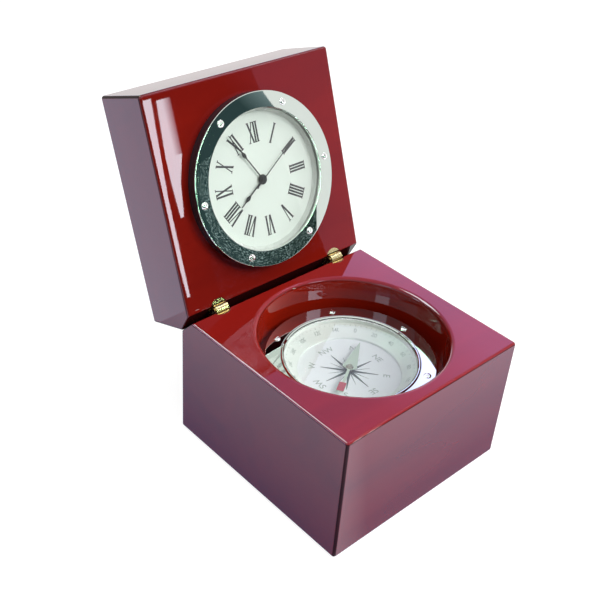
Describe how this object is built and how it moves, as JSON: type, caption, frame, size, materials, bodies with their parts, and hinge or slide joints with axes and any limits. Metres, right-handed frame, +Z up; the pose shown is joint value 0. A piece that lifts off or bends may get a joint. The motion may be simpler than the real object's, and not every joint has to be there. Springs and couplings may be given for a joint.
{
  "type": "desk clock with compass",
  "caption": "Hinged square wooden desk box with a quartz clock in the lid and a magnetic compass set in a round recess in the base.",
  "frame": {"origin": "centre of the base's underside, on the table", "axes": "+Z up, +Y towards the hinges at the back, +X towards 3 o'clock on the open lid's dial"},
  "size_m": [0.1, 0.1539, 0.1498],
  "materials": {
    "lacquered_wood": "high gloss lacquer",
    "felt": "matte",
    "ring_chrome": "polished",
    "hinge_brass": "polished",
    "screw_steel": "polished",
    "band_rubber": "matte",
    "case_plastic": "matte",
    "compass_plastic": "satin",
    "capsule_plastic": "satin",
    "card_white": "satin",
    "degree_white": "satin",
    "crystal_glass": "clear",
    "dial_white": "satin",
    "dial_ring_paint": "gloss",
    "hand_black": "gloss",
    "needle_paint": "satin",
    "pivot_brass": "polished",
    "gear_brass": "satin",
    "gear_plastic": "satin",
    "board_green": "satin",
    "chip_black": "matte",
    "plain_steel": "satin",
    "winding_copper": "satin",
    "cell_steel": "polished",
    "knob_plastic": "satin",
    "magnet": "satin"
  },
  "bodies": {
    "base": {"base_block": "lacquered_wood", "base_felt": "felt", "compass_case": "compass_plastic", "compass_band": "band_rubber", "compass_capsule": "capsule_plastic", "compass_card": "card_white", "degree_ring": "degree_white", "compass_crystal": "crystal_glass", "compass_rim": "ring_chrome", "compass_bezel": "ring_chrome", "compass_bezel_screws": "screw_steel", "compass_pivot": "pivot_brass", "left_hinge_base_half": "hinge_brass", "right_hinge_base_half": "hinge_brass", "left_hinge_pin": "hinge_brass", "right_hinge_pin": "hinge_brass"},
    "lid": {"lid_block": "lacquered_wood", "clock_case": "case_plastic", "clock_band": "band_rubber", "battery_hatch": "case_plastic", "clock_bezel": "ring_chrome", "clock_bezel_screws": "screw_steel", "clock_crystal": "crystal_glass", "dial_ring": "dial_ring_paint", "clock_dial": "dial_white", "movement_front": "case_plastic", "movement_rear": "case_plastic", "movement_screws": "plain_steel", "circuit_board": "board_green", "circuit_chip": "chip_black", "quartz_can": "plain_steel", "coil_core": "plain_steel", "coil_bobbin": "gear_plastic", "coil_winding": "winding_copper", "stator": "plain_steel", "button_cell": "cell_steel", "cell_spring": "gear_brass", "cell_strip": "gear_brass", "left_hinge_lid_half": "hinge_brass", "right_hinge_lid_half": "hinge_brass"},
    "needle": {"compass_needle": "needle_paint", "needle_cap": "pivot_brass"},
    "hour_works": {"hour_wheel": "gear_brass", "hour_hand": "hand_black"},
    "minute_works": {"minute_pinion": "gear_brass", "minute_hand": "hand_black"},
    "motion_works": {"motion_wheel": "gear_plastic"},
    "setting_works": {"setting_stem": "gear_plastic", "setting_knob": "knob_plastic"},
    "second_works": {"second_wheel": "gear_brass", "second_hand": "hand_black"},
    "third_works": {"third_wheel": "gear_plastic"},
    "centre_works": {"centre_wheel": "gear_plastic"},
    "intermediate_works": {"intermediate_wheel": "gear_plastic"},
    "rotor_works": {"rotor_arbor": "gear_plastic", "rotor_magnet": "magnet"}
  },
  "joints": [
    {"name": "lid_hinge", "type": "hinge", "parent": "base", "child": "lid", "pos_m": [0, 0.0442, 0.06165], "axis": [1, 0, 0], "range_deg": [0, 110]},
    {"name": "compass_needle_spin", "type": "hinge", "parent": "base", "child": "needle", "pos_m": [0, -0.0029, 0.042], "axis": [0, 0, 1], "continuous": true},
    {"name": "minute_hand_spin", "type": "hinge", "parent": "lid", "child": "minute_works", "pos_m": [0, 0.06045, 0.10586], "axis": [0, 0.9397, -0.342], "continuous": true},
    {"name": "hour_hand_spin", "type": "hinge", "parent": "lid", "child": "hour_works", "pos_m": [0, 0.06045, 0.10586], "axis": [0, 0.9397, -0.342], "continuous": true},
    {"name": "motion_wheel_spin", "type": "hinge", "parent": "lid", "child": "motion_works", "pos_m": [0, 0.06291, 0.11262], "axis": [0, 0.9397, -0.342], "continuous": true},
    {"name": "setting_knob_spin", "type": "hinge", "parent": "lid", "child": "setting_works", "pos_m": [0.00345, 0.06496, 0.11824], "axis": [0, 0.9397, -0.342], "continuous": true},
    {"name": "second_hand_spin", "type": "hinge", "parent": "lid", "child": "second_works", "pos_m": [0, 0.06045, 0.10586], "axis": [0, 0.9397, -0.342], "continuous": true},
    {"name": "third_wheel_spin", "type": "hinge", "parent": "lid", "child": "third_works", "pos_m": [-0.00655, 0.05963, 0.10362], "axis": [0, 0.9397, -0.342], "continuous": true},
    {"name": "centre_wheel_spin", "type": "hinge", "parent": "lid", "child": "centre_works", "pos_m": [0, 0.06045, 0.10586], "axis": [0, 0.9397, -0.342], "continuous": true},
    {"name": "intermediate_wheel_spin", "type": "hinge", "parent": "lid", "child": "intermediate_works", "pos_m": [0.00552, 0.05887, 0.10151], "axis": [0, 0.9397, -0.342], "continuous": true},
    {"name": "rotor_spin", "type": "hinge", "parent": "lid", "child": "rotor_works", "pos_m": [0.01002, 0.05757, 0.09796], "axis": [0, 0.9397, -0.342], "continuous": true}
  ],
  "couplings": [
    {"joint": "motion_wheel_spin", "follows": "minute_hand_spin", "ratio": -0.33333},
    {"joint": "hour_hand_spin", "follows": "minute_hand_spin", "ratio": 0.083333},
    {"joint": "setting_knob_spin", "follows": "minute_hand_spin", "ratio": 1.2},
    {"joint": "third_wheel_spin", "follows": "second_hand_spin", "ratio": -0.13333},
    {"joint": "centre_wheel_spin", "follows": "second_hand_spin", "ratio": 0.016667},
    {"joint": "intermediate_wheel_spin", "follows": "second_hand_spin", "ratio": -5},
    {"joint": "rotor_spin", "follows": "second_hand_spin", "ratio": 30}
  ]
}
